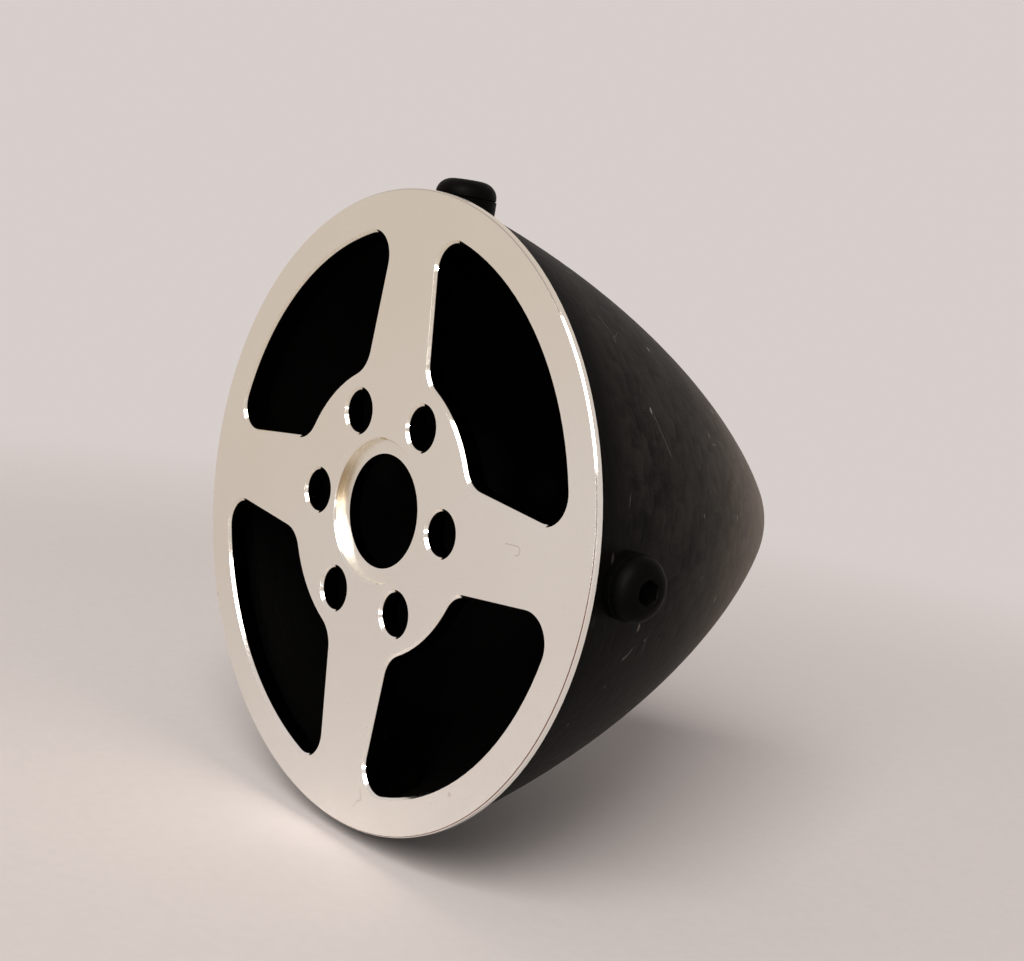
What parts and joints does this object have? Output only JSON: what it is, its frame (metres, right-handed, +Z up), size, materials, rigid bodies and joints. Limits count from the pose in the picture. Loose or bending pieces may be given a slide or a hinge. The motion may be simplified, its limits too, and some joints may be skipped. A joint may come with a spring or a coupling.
{
  "type": "propeller spinner",
  "caption": "Carbon-fibre spinner cone on a spoked aluminium backplate with a bored hub, a ring of bolt holes and radial button-head screws, for a model aircraft propeller.",
  "frame": {"origin": "centre of the bore on the backplate's rear face", "axes": "+Y along the shaft axis from the backplate to the nose, +Z up through the top spoke and its screw, +X through the right spoke and its screw, seen from behind"},
  "size_m": [0.0614, 0.05, 0.0614],
  "materials": {
    "machined_aluminium": "satin, fine turned and tumbled surface with broken edges",
    "carbon_fibre": "satin rubbed carbon-fibre laminate with a faint plain weave and pinholes",
    "black_oxide_steel": "black oxide with a soft sheen"
  },
  "bodies": {
    "root": {"backplate": "machined_aluminium", "nose_cone": "carbon_fibre", "screw_top": "black_oxide_steel", "screw_right": "black_oxide_steel", "screw_bottom": "black_oxide_steel", "screw_left": "black_oxide_steel"}
  },
  "joints": []
}
